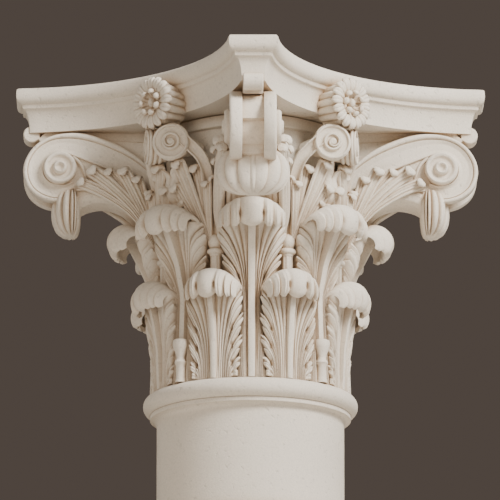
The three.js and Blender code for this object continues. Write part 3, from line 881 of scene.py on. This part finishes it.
def bud():
    """A closed bud on a short foot, its petal tips turned out."""
    profile = [(0.0, 478.0), (10.0, 478.0), (9.0, 484.0), (8.0, 487.0), (11.0, 490.0), (11.5, 493.0)]
    profile += [(9.5, 496.0), (14.0, 501.0), (19.0, 509.0), (21.0, 518.0), (20.5, 527.0), (19.0, 535.0)]
    profile += [(20.0, 541.0), (24.0, 547.0), (28.0, 551.0), (24.0, 553.0), (15.0, 548.0), (0.0, 545.0)]
    radius, z = np.array(profile)[:, :1], np.array(profile)[:, 1:]
    turn = spread(0.0, 2.0 * math.pi, 61)
    tips = np.abs(np.sin(turn * 2.5))
    flare = smooth(500.0, 512.0, z) * 0.14 + smooth(532.0, 550.0, z) * 0.34
    reach = radius * (1.0 - flare * (1.0 - tips ** 0.7))
    z = z - smooth(534.0, 551.0, z) * 12.0 * (1.0 - tips)
    return stack(166.0 + reach * np.cos(turn), reach * np.sin(turn), z)


def side_carving():
    """The carving on one side of the bud and its mirror image."""
    sprays = []
    for tip, bow, half in (((162, 62, 520), (3, 2, 0), 8.0), ((163, 40, 548), (1, 1, 0), 10.5),
                           ((184, 21, 556), (2, 0, 2), 11.0), ((180, 10, 518), (1, -4, 2), 10.0),
                           ((168, 14, 494), (5, -5, 0), 8.5)):
        sprays.append(leaflet((144, 53, 434), tip, bow, (1.0, 0.1, 0.0), half))
    return mirrored([small_scroll(), small_curl(), small_stem()] + stalk() + sprays)


set_round("side_scrolls", merged_mesh("side_piece", side_carving() + [baluster(), bud()], 42.0), 4, 0.0)


# ---------------------------------------------------------------- rosettes
# A daisy stands on each hollow side of the abacus, over the small scrolls, carved with the abacus.
# Sixteen creased petals open in front of a fluted drum, round a ring of small ones and a seed.

ROSETTE = {"face": 226.0, "z": 653.0}


def on_rosette(reach, across, lift):
    """Places on the flower: up from its heart, across it, and out from its face."""
    return stack(ROSETTE["face"] + lift, across, ROSETTE["z"] + reach)


def petal(angle, route, width):
    """A creased petal along a route of (reach, lift), round-tipped and thick."""
    rows = 15
    line = curve(route, rows)
    place = spread(0.0, 1.0, rows)[:, None]
    turn = np.radians(spread(0.0, 360.0, 21))[None]
    slope = np.gradient(line, axis=0)
    slope /= np.linalg.norm(slope, axis=1)[:, None]
    out = stack(-slope[:, 1], slope[:, 0])
    round_tip = np.sqrt(np.clip(1.0 - place ** 4.5, 0.0, 1.0))
    half = width * (0.34 + 0.66 * smooth(0.0, 0.7, place)) * round_tip + 0.02
    crease = np.exp(-(np.cos(turn) / 0.22) ** 2) * (np.sin(turn) > 0.0)
    thick = np.where(np.sin(turn) > 0.0, 0.5, 0.9) * half * np.sin(turn)
    thick -= 2.0 * crease * smooth(0.1, 0.5, place) * (half / width)
    reach = line[:, :1] + out[:, :1] * thick
    lift = line[:, 1:] + out[:, 1:] * thick
    across = half * np.cos(turn)
    cos, sin = math.cos(angle), math.sin(angle)
    return on_rosette(reach * sin + across * cos, reach * cos - across * sin, lift)


def turned_round(profile, sides, tall=1.0, folds=0.0):
    """A profile of (lift, radius) turned round the flower's heart, made tall or folded into ridges."""
    profile = np.array(profile)
    turn = spread(0.0, 2.0 * math.pi, sides + 1)
    reach = profile[:, 1:] * (1.0 - folds * (1.0 - np.abs(np.cos(8.0 * turn)) ** 0.7))
    return on_rosette(reach * tall * np.sin(turn), reach * np.cos(turn), profile[:, :1])


def rosette():
    """Long petals stand out from the fluted drum; small curled ones ring the seed."""
    whole = []
    for count, width, first, route in (
            (16, 7.6, 0.0, [(12, -6), (19, -1.5), (27, 1.5), (34, 2), (39, 0), (42, -5)]),
            (7, 6.4, 0.5, [(9, -5), (14, -3), (17, 2), (16.5, 6), (13.5, 7)])):
        for i in range(count):
            whole.append(petal(2.0 * math.pi * (i + first) / count, route, width))
    drum = [(-52.0, 0.0), (-52.0, 30.0), (-46.0, 35.0), (-30.0, 37.0), (-16.0, 37.5), (-9.0, 35.0)]
    whole.append(turned_round(drum + [(-6.0, 30.0), (-6.0, 0.0)], 192, folds=0.14))
    whole.append(turned_round([(-9.0, 0.0), (-9.0, 15.0), (-5.0, 13.0), (-6.0, 0.0)], 40))
    seed = [(-9.0, 0.0), (-8.0, 5.2), (-1.0, 6.2), (3.0, 4.8), (5.0, 2.4), (5.6, 0.0)]
    whole.append(turned_round(seed, 40, tall=1.35))
    return whole


set_round("rosettes", merged_mesh("rosette", rosette(), 50.0), 4, 0.0)
